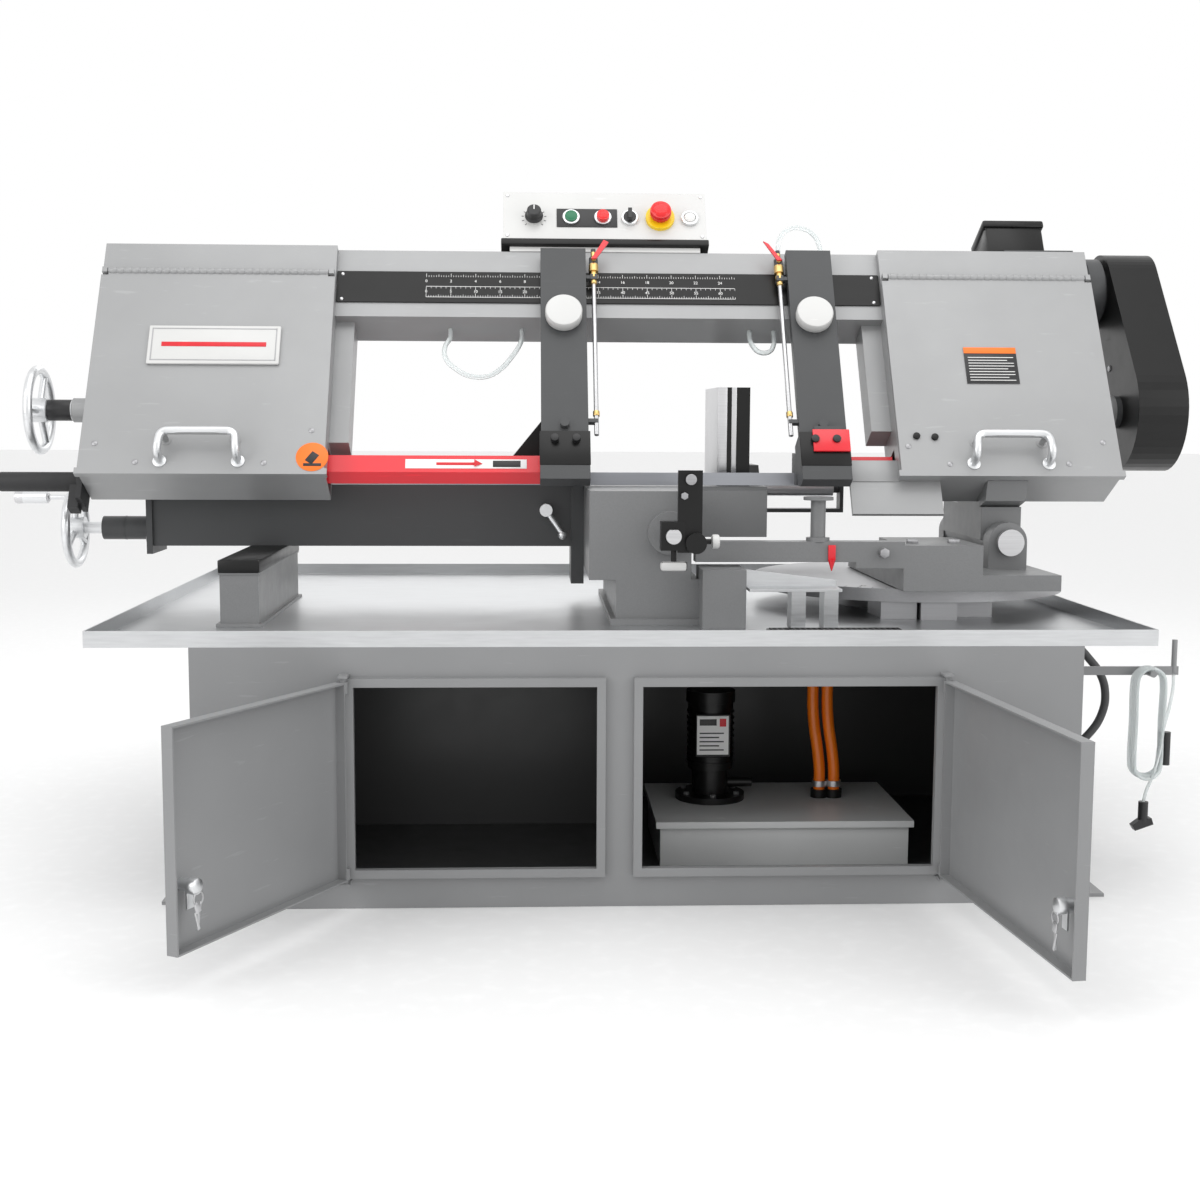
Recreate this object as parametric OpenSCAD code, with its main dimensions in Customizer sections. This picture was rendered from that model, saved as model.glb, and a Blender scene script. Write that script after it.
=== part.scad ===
// Horizontal swivel-head band saw on a two-door cabinet stand.
// X runs along the saw, +Y to the back, +Z up. The origin is on the floor, midway between the
// four anchor holes. The head leans back and is drawn in its own upright frame, see head().

/* [Cabinet] */
// Cabinet width
cab_w = 1524; // [1350:2:1800]
// Cabinet depth
cab_d = 700; // [600:2:840]
// Cabinet height, up to the underside of the tray
cab_h = 452; // [440:1:520]
// Sheet thickness of the cabinet and doors
sheet = 3; // [2:0.5:4]
// Left door opening width
door_l_w = 411; // [360:1:440]
// Right door opening width
door_r_w = 504; // [420:1:540]
// Door opening height
open_h = 315; // [250:1:320]
// Height of the openings' lower edge
open_z = 70; // [60:1:90]
// Angle at which the left door stands
door_l_open = 118; // [90:1:130]
// Angle at which the right door stands
door_r_open = 96; // [90:1:130]
// Diameter of the floor anchor holes
anchor_d = 14; // [10:1:18]

/* [Tray] */
// Chip tray width
tray_w = 1826; // [1700:2:2200]
// Chip tray depth
tray_d = 1270; // [1150:1:1400]
// Height of the tray lip over its floor
lip_h = 25; // [15:1:40]

/* [Bed and vise] */
// Height of the stock surface above the floor
bed_z = 704; // [690:1:706]
// Jaw height over the bed
jaw_h = 196; // [150:1:220]
// Jaw length along the stock
jaw_len = 230; // [160:1:260]
// Opening between the jaws
jaw_gap = 275; // [200:1:300]
// Vise beam length
beam_len = 870; // [700:1:960]
// Vise beam width
beam_w = 110; // [90:1:130]
// Vise screw diameter
vise_screw_d = 24; // [16:1:30]
// Vise handwheel diameter
vise_wheel_d = 165; // [120:1:200]
// Rear roller diameter
roller_d = 38; // [30:1:60]

/* [Swivel] */
// Turntable radius
table_r = 316; // [280:1:330]
// Distance of the swivel axis to the right of centre
swivel_x = 600; // [580:1:620]
// Distance of the swivel axis behind centre
swivel_y = 290; // [280:1:310]
// Head hinge distance to the right of centre
hinge_x = 745; // [730:1:760]
// Head hinge height
hinge_z = 600; // [590:1:610]
// Head hinge pin diameter
hinge_pin_d = 36; // [25:1:44]

/* [Head] */
// Angle at which the head leans back
lean = 30; // [20:1:35]
// Blade line distance behind centre
blade_y = 130; // [125:1:140]
// Blade line height
blade_z = 719; // [719:1:730]
// Band wheel diameter
wheel_d = 356; // [300:1:380]
// Distance between the band wheel centres
wheel_span = 1560; // [1520:1:1580]
// Blade width
blade_w = 25; // [19:1:25]
// Wheel housing width, left
house_l_w = 466; // [440:1:520]
// Wheel housing width, right
house_r_w = 435; // [430:1:470]
// Wheel housing height
house_h = 528; // [500:1:560]
// Wheel housing depth
house_d = 108; // [100:1:130]
// Cover height
cover_h = 456; // [430:1:470]
// Cover sheet thickness
cover_t = 3; // [2:0.5:4]
// Main beam height
bow_h = 160; // [130:1:165]
// Guide arm width
arm_w = 92; // [70:1:100]
// Guide arm thickness
arm_t = 20; // [14:1:24]
// Tension handwheel diameter
tension_wheel_d = 176; // [140:1:200]
// Motor diameter
motor_d = 150; // [120:1:156]
// Motor length
motor_len = 240; // [200:1:260]

/* [Controls] */
// Control box width
box_w = 422; // [380:1:460]
// Control box height
box_h = 118; // [100:1:140]
// Control box depth
box_d = 110; // [90:1:130]
// Push button diameter
button_d = 26; // [20:1:30]
// Emergency stop head diameter
estop_d = 42; // [34:1:50]

/* [Fits] */
// Radial running clearance
run_c = 0.05; // [0.02:0.01:0.1]
// Gap between moving parts that do not touch
gap = 2; // [1:0.5:4]

/* [Hidden] */
$fn = 48;

tray_cx = -23;
floor_z = cab_h + sheet;
front_y = -cab_d / 2;
door_l_x = -487;
door_r_x = 2;
frame_w = 15;
frame_t = 12;
door_gap = 3;
door_t = 20;
pin_r = 5;
hinge_off = 12;
knuckle_h = 20;
door_z = open_z - frame_w + door_gap;
door_h = open_h + 2 * (frame_w - door_gap);
door_y = front_y - frame_t - hinge_off;
door_lx = door_l_x - frame_w;
door_rx = door_r_x + door_r_w + frame_w;
anchor_x = cab_w / 2 + 32;
anchor_y = cab_d / 2 - 60;
drive_x = 745;
idler_x = drive_x - wheel_span;
wheel_r = wheel_d / 2;
wheel_w = 30;
axle_r = 20;
house_l_x = -1048;
house_r_x = 530;
house_bottom = -30;
house_back = 36;
house_front = house_back - house_d;
cover_y = house_front - gap;
hinge_line = house_bottom + cover_h;
bow_z = house_bottom + house_h - bow_h;
bow_x0 = house_l_x + house_l_w;
bow_len = house_r_x - bow_x0;
bow_front = -56;
bow_back = 34;
arm_y = bow_front - 10;
arm_l_x = -122;
arm_r_x = 382;
arm_top = bow_z + bow_h - 12;
guide_y = arm_y - arm_t;
pulley_z = 222;
motor_z = 520;
drive_y = 112;
guard_x = 1056;
guard_w = 104;
jaw_x = 196;
jaw_y = 172;
beam_y = 240;
beam_x1 = -84;
beam_z0 = 577;
beam_top = bed_z - gap;
screw_z = 610;
screw_y = beam_y + beam_w / 2;
stop_x = 68;
stop_z = 627;
box_x = -34;
box_z = 523;
bed_y0 = -82;
bed_y1 = 440;
roller_y = 560;

// The head's own upright frame: X along the blade, Z up the bow from the blade line
module head()
    translate([0, blade_y, blade_z]) rotate([-lean, 0, 0]) children();

// Round bars along X, Y and Z from a start point
module rod_x(p, r, l) translate(p) rotate([0, 90, 0]) cylinder(h = l, r = r);
module rod_y(p, r, l) translate(p) rotate([-90, 0, 0]) cylinder(h = l, r = r);
module rod_z(p, r, l) translate(p) cylinder(h = l, r = r);

// Block with its lowest corner at p
module block(p, s) translate(p) cube(s);

// Outline in the XZ plane with round corners, its front face at p[1]
module round_plate(p, w, h, t, r)
    translate([p[0], p[1] + t, p[2]]) rotate([90, 0, 0]) linear_extrude(t) union() {
        translate([r, 0]) square([w - 2 * r, h]);
        translate([0, r]) square([w, h - 2 * r]);
        for (x = [r, w - r], y = [r, h - r]) translate([x, y]) circle(r);
    }

// Outline in the YZ plane pulled out along X from x0
module side_profile(x0, w, pts)
    translate([x0, 0, 0]) rotate([90, 0, 90]) linear_extrude(w) polygon(pts);

// Outline in the XZ plane pulled out along Y from y0
module front_profile(y0, t, pts)
    translate([0, y0 + t, 0]) rotate([90, 0, 0]) linear_extrude(t) polygon(pts);

// Spoked handwheel turning about X, with its hub centre at the origin
module handwheel(d, hub_r, hub_l, bore_r) {
    rim_r = 9;
    difference() {
        union() {
            rotate([0, 90, 0]) rotate_extrude() translate([d / 2 - rim_r, 0]) circle(rim_r);
            rod_x([-hub_l / 2, 0, 0], hub_r, hub_l);
            for (a = [0:120:240]) rotate([a, 0, 0]) rod_z([0, 0, hub_r / 2], 7, d / 2 - rim_r - hub_r / 2);
        }
        rod_x([-hub_l, 0, 0], bore_r, 2 * hub_l);
    }
}

// ---- stand ----
module cabinet() color("darkgray") {
    in_y = cab_d - 2 * sheet;
    bulkhead = 470;
    difference() {
        block([-cab_w / 2, front_y, 0], [cab_w, cab_d, cab_h]);
        block([-cab_w / 2 + sheet, front_y + sheet, 26],
            [cab_w / 2 - 40 - sheet, bulkhead, cab_h - 26 - sheet]);
        block([-36, front_y + sheet, 26], [cab_w / 2 + 36 - sheet, in_y, cab_h - 26 - sheet]);
        block([-cab_w / 2 + sheet, front_y + 2 * sheet + bulkhead, 26],
            [cab_w / 2 - 40 - sheet, in_y - bulkhead - sheet, cab_h - 26 - sheet]);
        block([-cab_w / 2 + sheet, front_y + sheet, -1],
            [cab_w - 2 * sheet, in_y, 27 - sheet]);
        block([door_l_x, front_y - 1, open_z], [door_l_w, sheet + 2, open_h]);
        block([door_r_x, front_y - 1, open_z], [door_r_w, sheet + 2, open_h]);
    }
    for (d = [[door_l_x, door_l_w], [door_r_x, door_r_w]]) difference() {
        block([d[0] - frame_w, front_y - frame_t, open_z - frame_w],
            [d[1] + 2 * frame_w, frame_t, open_h + 2 * frame_w]);
        block([d[0], front_y - frame_t - 1, open_z], [d[1], frame_t + 2, open_h]);
    }
    for (s = [-1, 1]) difference() {
        block([s * cab_w / 2 - (s < 0 ? 62 : 0), front_y + 30, 0], [62, cab_d - 60, 6]);
        for (t = [-1, 1]) rod_z([s * anchor_x, t * anchor_y, -1], anchor_d / 2, 10);
    }
    for (x = [door_lx, door_rx]) {
        hinge_pin_on_foot(x, door_z - 6, 1);
        hinge_pin_on_foot(x, door_z + door_h + 6, -1);
    }
}

// Fixed half of a door hinge: a foot on the frame, and a pin that points into the door's knuckle
module hinge_pin_on_foot(x, z, s) {
    block([x - 8, door_y - 8, s > 0 ? z - 4 : z], [16, hinge_off + frame_t + 8, 4]);
    rod_z([x, door_y, s > 0 ? z - 1 : z + 1 - knuckle_h], pin_r, knuckle_h);
}

module chip_tray() color("lightslategray") difference() {
    block([tray_cx - tray_w / 2, front_y, cab_h], [tray_w, tray_d, sheet + lip_h]);
    block([tray_cx - tray_w / 2 + sheet, front_y + sheet, floor_z],
        [tray_w - 2 * sheet, tray_d - 2 * sheet, lip_h + 1]);
}

// Door pan with its hinge axis at the origin, the door to +X and its hollow side to +Y
module door_pan(w) {
    edge = 9;
    difference() {
        block([edge, -door_t / 2, 0], [w - edge, door_t, door_h]);
        block([edge + sheet, -door_t / 2 + sheet, sheet],
            [w - edge - 2 * sheet, door_t, door_h - 2 * sheet]);
        rod_y([w - 30, -door_t, door_h / 2 - 70], 10 + run_c, door_t * 2);
    }
    for (z = [0, door_h - knuckle_h]) difference() {
        union() {
            rod_z([0, 0, z], 8, knuckle_h);
            block([0, -4, z], [edge + 2, 8, knuckle_h]);
        }
        rod_z([0, 0, z - 1], pin_r + run_c, knuckle_h + 2);
    }
}
module place_door_left()
    translate([door_lx, door_y, door_z]) rotate([0, 0, -door_l_open]) children();
module place_door_right()
    translate([door_rx, door_y, door_z]) rotate([0, 0, door_r_open]) mirror([1, 0, 0]) children();
door_wl = door_l_w + 2 * frame_w - 3;
door_wr = door_r_w + 2 * frame_w - 3;
module door_left() color("gray") place_door_left() door_pan(door_wl);
module door_right() color("gray") place_door_right() door_pan(door_wr);

// Cam lock: barrel through the door, key head outside, cam inside, two keys on a ring
module lock(w) {
    z = door_h / 2 - 70;
    rod_y([w - 30, -door_t / 2 - 6, z], 13, 6 - run_c);
    rod_y([w - 30, -door_t / 2 - 6, z], 10, door_t + 8);
    block([w - 38, door_t / 2 - 2, z - 34], [16, 3, 40]);
    rod_y([w - 30, door_t / 2 + 1, z], 11, 8);
}
module lock_left() color("silver") place_door_left() lock(door_wl);
module lock_right() color("silver") place_door_right() lock(door_wr);

// ---- coolant ----
tank_x = 38;
tank_w = 470;
tank_y = -205;
tank_d = 300;
tank_h = 100;
lid_t = 12;
module coolant_tank() color("gainsboro") {
    difference() {
        block([tank_x + 8, tank_y, 26], [tank_w - 16, tank_d, tank_h - 26]);
        block([tank_x + 11, tank_y + 3, 29], [tank_w - 22, tank_d - 6, tank_h]);
    }
    difference() {
        block([tank_x, tank_y - 8, tank_h], [tank_w, tank_d + 16, lid_t]);
        rod_z([pump_x, pump_y, tank_h - 1], 40, lid_t + 2);
        for (x = hose_xs) rod_z([x, hose_y, tank_h - 1], hose_r + 1, lid_t + 2);
    }
}
pump_x = 156;
pump_y = -20;
pump_r = 43;
hose_xs = [368, 396];
hose_y = -20;
hose_r = 11;
module coolant_pump() color("black") {
    lid_top = tank_h + lid_t;
    rod_z([pump_x, pump_y, 40], 26, lid_top - 39);
    rod_z([pump_x, pump_y, lid_top], 66, 12);
    rod_z([pump_x, pump_y, lid_top + 11], 34, 50);
    rod_z([pump_x, pump_y, lid_top + 60], pump_r, 130);
    rod_z([pump_x, pump_y, lid_top + 189], pump_r + 4, 22);
    block([pump_x - 32, pump_y - pump_r - 6, lid_top + 90], [64, 16, 80]);
    rod_x([pump_x + 20, pump_y, lid_top + 30], 9, 60);
    for (x = hose_xs) difference() {
        rod_z([x, hose_y, lid_top], hose_r + 5, 16);
        rod_z([x, hose_y, lid_top - 1], hose_r - 3, 18);
    }
}

// Round tube of radius r swept through the points of a route
function unit(v) = v / norm(v);
function heading(p, i) = unit(p[min(i + 1, len(p) - 1)] - p[max(i - 1, 0)]);
function side_dir(t) = unit(cross(t, abs(t[1]) > 0.9 ? [1, 0, 0] : [0, 1, 0]));
module tube(p, r, n = 8) {
    rings = len(p);
    pts = [for (i = [0:rings - 1], k = [0:n - 1])
        let (t = heading(p, i), u = side_dir(t), v = cross(t, u), a = 360 * k / n)
        p[i] + r * (cos(a) * u + sin(a) * v)];
    walls = [for (i = [0:rings - 2], k = [0:n - 1])
        let (j = (k + 1) % n) [i * n + k, i * n + j, (i + 1) * n + j, (i + 1) * n + k]];
    start = [for (k = [n - 1:-1:0]) k];
    end = [for (k = [0:n - 1]) (rings - 1) * n + k];
    polyhedron(points = pts, faces = concat(walls, [start, end]), convexity = 6);
}
pump_route = [[0, 0, 128], [0, 0, 165], [-4, 2, 205], [-10, 4, 245], [-14, 4, 285],
    [-15, 2, 325], [-15, 0, 365], [-15, 0, 405], [-15, 0, 449]];
drain_route = [[862, 20, 452], [862, 20, 430], [876, 18, 404], [898, 14, 378], [922, 10, 346],
    [932, 6, 308], [926, 4, 268], [904, 2, 232], [872, 0, 206], [834, 0, 194], [796, 0, 190],
    [762, 0, 190]];
module pump_hoses() color("darkorange")
    for (x = hose_xs) tube([for (q = pump_route) q + [x, hose_y, 0]], hose_r);
module drain_hose() color("dimgray") tube(drain_route, 8);

hang_y = -150;
hang_x = 955;
peg_z = 374;
peg_r = 6;
hank_w = 60;
hank_h = 270;
hank_t = 32;
hank_wall = 20;
hank_top = peg_z + peg_r + hank_wall;
module hose_hanger() color("silver") {
    block([cab_w / 2, hang_y - 30, 340], [5, 60, 60]);
    block([cab_w / 2 + 4, hang_y + hank_t / 2 + 4, peg_z - 8], [hang_x + 60 - cab_w / 2, 5, 16]);
    rod_y([hang_x, hang_y - 24, peg_z], peg_r, 24 + hank_t / 2 + 5);
    rod_z([hang_x + 56, hang_y + hank_t / 2 + 7, peg_z - 4], 5, 62);
}
module stadium(w, h) {
    translate([0, w / 2]) circle(w / 2);
    translate([0, h - w / 2]) circle(w / 2);
    translate([-w / 2, w / 2]) square([w, h - w]);
}
// Hank of clear hose that hangs on the peg
module wash_hose() color("whitesmoke")
    translate([hang_x, hang_y + hank_t / 2, hank_top - hank_h]) rotate([90, 0, 0])
        linear_extrude(hank_t) difference() {
            stadium(hank_w, hank_h);
            translate([0, hank_wall]) stadium(hank_w - 2 * hank_wall, hank_h - 2 * hank_wall);
        }
module wash_gun() color("dimgray") {
    z = hank_top - hank_h;
    rod_z([hang_x, hang_y, z - 36], 9, 36);
    front_profile(hang_y - 8, 16, [[hang_x - 22, z - 44], [hang_x - 16, z - 54],
        [hang_x + 18, z - 42], [hang_x + 14, z - 30], [hang_x - 6, z - 32]]);
    rod_z([hang_x + hank_w / 2 + 8, hang_y, z + 70], 8, 62);
}

// ---- bed and vise ----
module bed_casting() color("darkgray") difference() {
    union() {
        block([-80, bed_y0, floor_z + 84], [190, bed_y1 - bed_y0, bed_z - floor_z - 84]);
        block([-30, bed_y0, floor_z], [156, bed_y1 - bed_y0, 85]);
        block([109, beam_y - 110, bed_z - 100], [172, bed_y1 - beam_y + 110, 100]);
        block([125, bed_y0 - 60, floor_z], [80, 120, 108]);
        block([-40, bed_y0 - 10, floor_z], [176, bed_y1 - bed_y0 + 20, 12]);
        rod_y([stop_x, bed_y0 - 14, stop_z], 40, 15);
    }
    block([-90, blade_y - 6, bed_z - 8], [400, 12, 9]);
    rod_y([stop_x, bed_y0 - 15, stop_z], 14 + run_c, 60);
    block([-20, bed_y0 + 60, floor_z + 12], [120, bed_y1 - bed_y0 - 120, 140]);
    block([-90, screw_y - 14, bed_z - 34], [280, 28, 40]);
}
module roller_stand() color("dimgray") {
    for (x = [-58, 506]) block([x, roller_y - 20, bed_z - 70], [8, 40, 66]);
    block([-58, roller_y - 20, bed_z - 74], [572, 40, 8]);
    for (x = [0, 60]) block([x, bed_y1, bed_z - 74], [30, roller_y - bed_y1 - 19, 8]);
    for (x = [-50, 494]) difference() {
        rod_x([x, roller_y, bed_z - roller_d / 2], 12, 12);
        rod_x([x - 1, roller_y, bed_z - roller_d / 2], 6 + run_c, 14);
    }
}
module rear_roller() color("silver") {
    rod_x([-36, roller_y, bed_z - roller_d / 2], roller_d / 2, 528);
    rod_x([-50, roller_y, bed_z - roller_d / 2], 6, 556);
}
module vise_beam() color("dimgray") difference() {
    union() {
        block([beam_x1 - beam_len, beam_y, beam_z0], [beam_len, beam_w, beam_top - beam_z0]);
        block([beam_x1 - beam_len - 10, beam_y - 8, beam_z0 - 16], [12, beam_w + 16, beam_top - beam_z0 + 16]);
        block([beam_x1 - 22, beam_y - 12, beam_z0 - 76], [26, beam_w + 24, beam_top - beam_z0 + 76]);
        rod_x([beam_x1 - beam_len - 110, screw_y, screw_z], 24, 101);
    }
    block([beam_x1 - beam_len + 4, beam_y + 10, beam_z0 + 8], [beam_len - 40, beam_w - 20, beam_top - beam_z0 - 24]);
    block([beam_x1 - beam_len + 4, screw_y - 14, beam_top - 30], [beam_len + 20, 28, 60]);
    rod_x([beam_x1 - beam_len - 120, screw_y, screw_z], vise_screw_d / 2 + run_c, 160);
    rod_y([-157, beam_y - 2, 652], 8 + run_c, 20);
}
module beam_rest() color("slategray") {
    difference() {
        block([-755, -104, floor_z], [70, 500, 96]);
        block([-749, -98, floor_z - 1], [58, 488, 91]);
    }
    block([-762, -110, floor_z], [84, 512, 6]);
    block([-757, -106, floor_z + 96], [74, 504, beam_z0 - floor_z - 96]);
}
module vise_wheel() color("silver") {
    translate([-1122, screw_y, screw_z]) handwheel(vise_wheel_d, 22, 40, vise_screw_d / 2);
    rod_x([-1142, screw_y, screw_z], vise_screw_d / 2, 1142 + beam_x1 - 60);
    rod_x([-1190, screw_y, screw_z + vise_wheel_d / 2 - 20], 5, 68);
    rod_x([-1240, screw_y, screw_z + vise_wheel_d / 2 - 20], 13, 64);
}
module fixed_jaw() color("dimgray") {
    difference() {
        block([jaw_x, jaw_y, bed_z], [54, jaw_len, jaw_h]);
        block([jaw_x - 1, jaw_y + 10, bed_z + 60], [9, 10, jaw_h]);
        block([jaw_x + 30, jaw_y + 20, bed_z + 40], [40, jaw_len - 40, jaw_h - 80]);
    }
    side_profile(jaw_x + 53, 28, [[jaw_y + 30, bed_z], [jaw_y + jaw_len - 30, bed_z],
        [jaw_y + jaw_len - 60, bed_z + 40], [jaw_y + 60, bed_z + 40]]);
    block([jaw_x - 10, jaw_y, bed_z + 3], [10, jaw_len, jaw_h - 3]);
}
module moving_jaw() color("black") {
    face = jaw_x - 10 - jaw_gap;
    block([face - 10, jaw_y, bed_z + gap], [10, jaw_len, jaw_h - gap]);
    block([face - 30, jaw_y, bed_z + gap / 2], [20, jaw_len, jaw_h - gap / 2]);
    block([face - 170, beam_y + 10, bed_z + gap / 2], [141, beam_w - 20, 22]);
    for (y = [beam_y + 14, beam_y + beam_w - 26]) front_profile(y, 12,
        [[face - 165, bed_z + 20], [face - 29, bed_z + 20], [face - 29, bed_z + jaw_h - 10]]);
    block([face - 150, screw_y - 12, beam_top - 28], [80, 24, 40]);
}
module vise_lock_lever() color("silver") {
    rod_y([-157, beam_y - 24, 652], 8, 38);
    rod_y([-157, beam_y - 34, 652], 13, 22);
    hull() {
        translate([-157, beam_y - 25, 652]) sphere(7, $fn = 24);
        translate([-124, beam_y - 29, 604]) sphere(5, $fn = 24);
    }
    translate([-124, beam_y - 29, 602]) sphere(9, $fn = 32);
}
module work_stop_bar() color("silver") difference() {
    rod_y([stop_x, bed_y0 - 100, stop_z], 14, 140);
    block([stop_x - 20, bed_y0 - 110, stop_z + 12], [40, 90, 10]);
}
module work_stop_arm() color("black") {
    y = bed_y0 - 90;
    difference() {
        union() {
            block([stop_x - 22, y, stop_z - 26], [44, 34, 52]);
            block([stop_x + 8, y + 2, stop_z - 30], [44, 12, 148]);
        }
        rod_y([stop_x, y - 1, stop_z], 14 + run_c, 40);
    }
    rod_y([stop_x + 40, y - 16, stop_z - 12], 19, 19);
    rod_z([stop_x + 2, y + 17, stop_z - 50], 5, 25);
    block([stop_x - 20, y + 9, stop_z - 62], [46, 16, 14]);
    rod_y([stop_x + 30, y - 10, stop_z + 102], 8, 14);
    rod_x([stop_x + 51, y + 8, stop_z - 10], 5, 20);
    rod_x([stop_x + 70, y + 8, stop_z - 10], 12, 12);
}
module chute() color("silver") {
    block([210, -150, 524], [170, 60, 5]);
    front_profile(-92, 4, [[210, 524], [380, 524], [380, 540], [210, 560]]);
    for (x = [288, 348]) block([x, -146, floor_z], [26, 50, 70]);
    block([235, -320, floor_z], [240, 120, 8]);
}

// ---- swivel ----
table_z = 490;
table_t = 25;
ear_y = [blade_y - 75, blade_y + 270];
ear_t = 40;
module turntable() color("gainsboro") {
    rod_z([swivel_x, swivel_y, table_z], table_r, table_t, $fn = 96);
    rod_z([swivel_x, swivel_y, floor_z], 150, table_z - floor_z + 1);
    for (p = [[485, 0], [560, -12], [640, 30]]) block([p[0], p[1], floor_z], [70, 120, table_z - floor_z + 1]);
    rod_z([swivel_x, swivel_y, table_z + table_t - 1], 40, 26);
}
module swivel_casting() color("darkgray") {
    base_z = table_z + table_t + gap;
    difference() {
        union() {
            block([510, -75, base_z], [300, ear_y[1] + ear_t + 85, 30]);
            block([510, -75, base_z + 24], [150, 220, 62]);
            for (y = ear_y) {
                block([hinge_x - 38, y, base_z], [76, ear_t, hinge_z - base_z]);
                rod_y([hinge_x, y, hinge_z], 38, ear_t);
            }
        }
        rod_z([swivel_x, swivel_y, base_z - 1], 40 + run_c, 60);
        rod_y([hinge_x, ear_y[0] - 1, hinge_z], hinge_pin_d / 2, ear_y[1] + ear_t + 2 - ear_y[0]);
    }
    block([118, -75, 572], [393, 40, 38]);
    block([420, -75, 560], [92, 50, 14]);
    rod_z([350, -55, 609], 22, 8);
    rod_z([350, -55, 616], 14, 72);
    rod_z([350, -55, 687], 28, 6);
    rod_y([470, -84, 590], 9, 10);
}
module hinge_pin() color("silver") {
    rod_y([hinge_x, ear_y[0] - 10, hinge_z], hinge_pin_d / 2, ear_y[1] + ear_t + 20 - ear_y[0]);
    rod_y([hinge_x, ear_y[0] - 22, hinge_z], hinge_pin_d / 2 + 8, 12);
}
module hinge_bracket() color("darkgray") {
    y0 = ear_y[0] + ear_t + gap;
    len = ear_y[1] - gap - y0;
    difference() {
        union() {
            rod_y([hinge_x, y0, hinge_z], 36, len);
            block([hinge_x - 40, y0 + 10, hinge_z], [80, len - 10, 66]);
            head() side_profile(hinge_x - 40, 80, [[house_back - 90, house_bottom],
                [house_back, house_bottom], [house_back, 90], [house_back + 24, 90],
                [house_back + 129, 60], [house_back + 120, -20], [house_back - 60, house_bottom - 30]]);
        }
        rod_y([hinge_x, y0 - 1, hinge_z], hinge_pin_d / 2 + run_c, len + 2);
    }
}

// ---- head frame, housings and covers ----
axle_z = wheel_r + 0.5;
screw_line = 150;
barrel_y = cover_y - 6;
barrel_r = 6;
barrel_bore = 3;
lug_w = 10;
handle_z = [-18, 46];
module bow_frame() color("silver") head() {
    difference() {
        block([bow_x0, bow_front, bow_z], [bow_len, bow_back - bow_front, bow_h]);
        block([bow_x0 - 1, bow_front + 6, bow_z + 6], [bow_len + 2, bow_back - bow_front - 12, bow_h - 12]);
    }
    block([bow_x0, -34, 60], [38, 60, bow_z - 60]);
    block([house_r_x - 40, -34, 90], [40, 60, bow_z - 90]);
    block([house_r_x - 100, 0, 100], [16, 30, bow_z - 100]);
    // Splash plate under the drive end, clear of the right guide head
    splash_x = arm_r_x + 48 + 2 * gap;
    block([splash_x, -50, house_bottom - 72], [house_r_x + 82 - splash_x, 8, 72]);
}
module rule_plate() color("black") head()
    round_plate([bow_x0 + 1, bow_front - 3, bow_z + 33], bow_len - 2, 74, 3, 3);
module housing(x0, w, axle_hole) difference() {
    union() {
        difference() {
            block([x0, house_front, house_bottom], [w, house_d, house_h]);
            block([x0 + sheet, house_front - 1, house_bottom + sheet],
                [w - 2 * sheet, house_d - sheet + 1, house_h - 2 * sheet]);
        }
        block([x0, house_front, hinge_line], [w, sheet, house_bottom + house_h - hinge_line]);
        for (x = [x0 + 2, x0 + w - lug_w - 2])
            block([x, barrel_y - barrel_r, hinge_line - barrel_r], [lug_w, house_front - barrel_y + barrel_r + 1, 2 * barrel_r]);
        rod_x([x0 + 4, barrel_y, hinge_line], barrel_bore, w - 8);
    }
    rod_y([axle_hole, 0, axle_z], axle_r + 6, 80);
    for (x = [bow_x0, house_r_x]) {
        block([x - 20, -22, wheel_d - 12], [40, 44, 30]);
        block([x - 20, -40, -24], [40, 72, 70]);
    }
    rod_x([house_l_x - 1, 0, screw_line], 12, 8);
}
module housing_left() color("silver") head() {
    housing(house_l_x, house_l_w, idler_x + 400);
    difference() {
        rod_x([house_l_x - 44, 0, screw_line], 24, 44);
        rod_x([house_l_x - 45, 0, screw_line], 12 + run_c, 46);
    }
    for (z = [axle_z - 60, axle_z + 52]) block([idler_x - 110, house_back - 18, z], [220, 16, 8]);
}
module housing_right() color("silver") head() housing(house_r_x, house_r_w, drive_x);

module cover(x0, w) {
    plate_y = barrel_y - cover_t / 2;
    difference() {
        union() {
            // Low enough beside the square lugs to swing past their corners
            block([x0, plate_y, house_bottom], [w, cover_t, cover_h - 1.5 * barrel_r - 1]);
            block([x0 + lug_w + 4, plate_y, house_bottom], [w - 2 * lug_w - 8, cover_t, cover_h]);
            block([x0 - gap - cover_t, plate_y, house_bottom - gap - cover_t], [w + 2 * (gap + cover_t), 14, cover_t]);
            block([x0 - gap - cover_t, plate_y, house_bottom - gap], [w + 2 * (gap + cover_t), cover_t, gap + 8]);
            rod_x([x0 + lug_w + 4, barrel_y, hinge_line], barrel_r, w - 2 * lug_w - 8);
        }
        rod_x([x0, barrel_y, hinge_line], barrel_bore + run_c, w);
    }
}
module pull_handle(xc) {
    y = barrel_y - cover_t / 2;
    for (x = [xc - 70, xc + 62]) {
        rod_y([x + 4, y - 34, handle_z[1] - 8], 6, 34);
        rod_y([x + 4, y - 1, handle_z[1] - 8], 11, 1);
    }
    rod_x([xc - 66, y - 34, handle_z[1] - 8], 6, 132);
}
module cover_left() color("silver") head() {
    cover(house_l_x, house_l_w);
    pull_handle(-820);
    round_plate([-938, barrel_y - cover_t / 2 - 4, 206], 256, 86, 4, 12);
}
module cover_right() color("silver") head() {
    cover(house_r_x, house_r_w);
    pull_handle(747);
    block([680, barrel_y - cover_t / 2 - 1, 172], [106, 1, 84]);
}
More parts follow.
